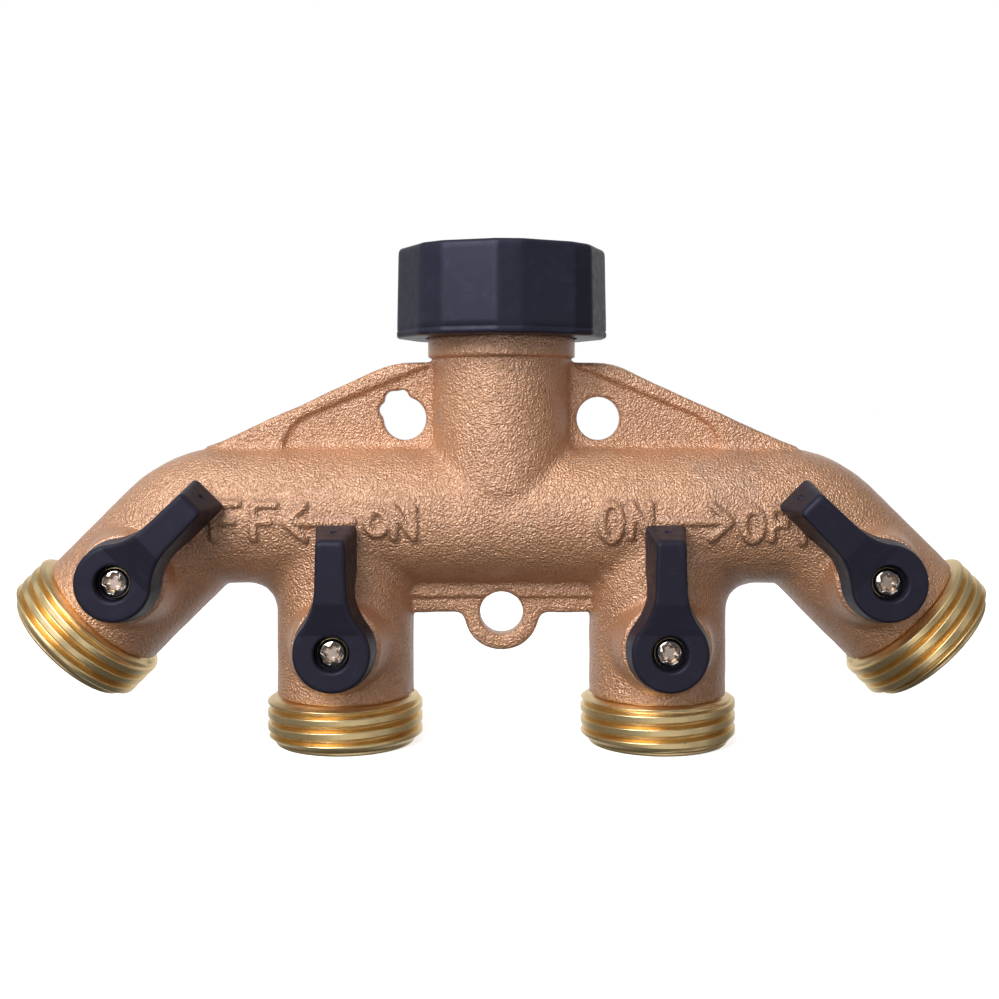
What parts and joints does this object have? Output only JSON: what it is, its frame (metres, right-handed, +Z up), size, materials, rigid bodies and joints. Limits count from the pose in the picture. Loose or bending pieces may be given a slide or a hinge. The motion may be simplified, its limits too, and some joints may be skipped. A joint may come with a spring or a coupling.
{
  "type": "hose splitter",
  "caption": "Cast metal garden hose splitter with a swivelling black inlet nut and threaded brass outlets, each opened or shut by its own quarter-turn lever.",
  "frame": {"origin": "on the inlet's axis, in the middle of the coupling nut's thread", "axes": "+X along the manifold to the right, -Y out of the levers' faces, +Z up, out of the inlet nut's mouth"},
  "size_m": [0.1696, 0.0398, 0.0857],
  "materials": {
    "casting": "rough as-cast surface with a copper coloured coat",
    "brass": "machined, bright",
    "black_plastic": "satin moulded, finely textured",
    "steel": "bright stainless",
    "chrome_ball": "plated, mirror smooth",
    "white_seat": "smooth PTFE",
    "rubber": "matt"
  },
  "bodies": {
    "splitter": {"body_casting": "casting", "inlet_tailpiece": "brass", "inlet_washer": "rubber", "outer_left_thread_end": "brass", "outer_left_upstream_seat": "white_seat", "outer_left_downstream_seat": "white_seat", "inner_left_thread_end": "brass", "inner_left_upstream_seat": "white_seat", "inner_left_downstream_seat": "white_seat", "inner_right_thread_end": "brass", "inner_right_upstream_seat": "white_seat", "inner_right_downstream_seat": "white_seat", "outer_right_thread_end": "brass", "outer_right_upstream_seat": "white_seat", "outer_right_downstream_seat": "white_seat"},
    "nut": {"coupling_nut": "black_plastic"},
    "outer_left_valve": {"outer_left_ball": "chrome_ball", "outer_left_stem": "brass", "outer_left_stem_seal": "rubber", "outer_left_lever": "black_plastic", "outer_left_lever_washer": "brass", "outer_left_lever_screw": "steel"},
    "inner_left_valve": {"inner_left_ball": "chrome_ball", "inner_left_stem": "brass", "inner_left_stem_seal": "rubber", "inner_left_lever": "black_plastic", "inner_left_lever_washer": "brass", "inner_left_lever_screw": "steel"},
    "inner_right_valve": {"inner_right_ball": "chrome_ball", "inner_right_stem": "brass", "inner_right_stem_seal": "rubber", "inner_right_lever": "black_plastic", "inner_right_lever_washer": "brass", "inner_right_lever_screw": "steel"},
    "outer_right_valve": {"outer_right_ball": "chrome_ball", "outer_right_stem": "brass", "outer_right_stem_seal": "rubber", "outer_right_lever": "black_plastic", "outer_right_lever_washer": "brass", "outer_right_lever_screw": "steel"}
  },
  "joints": [
    {"name": "nut_swivel", "type": "hinge", "parent": "splitter", "child": "nut", "pos_m": [0, 0, 0], "axis": [0, 0, 1], "continuous": true},
    {"name": "outer_left_valve_turn", "type": "hinge", "parent": "splitter", "child": "outer_left_valve", "pos_m": [-0.06255, 0, -0.05192], "axis": [0, -1, 0], "range_deg": [0, 90]},
    {"name": "inner_left_valve_turn", "type": "hinge", "parent": "splitter", "child": "inner_left_valve", "pos_m": [-0.0273, 0, -0.06331], "axis": [0, -1, 0], "range_deg": [0, 90]},
    {"name": "inner_right_valve_turn", "type": "hinge", "parent": "splitter", "child": "inner_right_valve", "pos_m": [0.0273, 0, -0.06331], "axis": [0, 1, 0], "range_deg": [0, 90]},
    {"name": "outer_right_valve_turn", "type": "hinge", "parent": "splitter", "child": "outer_right_valve", "pos_m": [0.06255, 0, -0.05192], "axis": [0, 1, 0], "range_deg": [0, 90]}
  ]
}
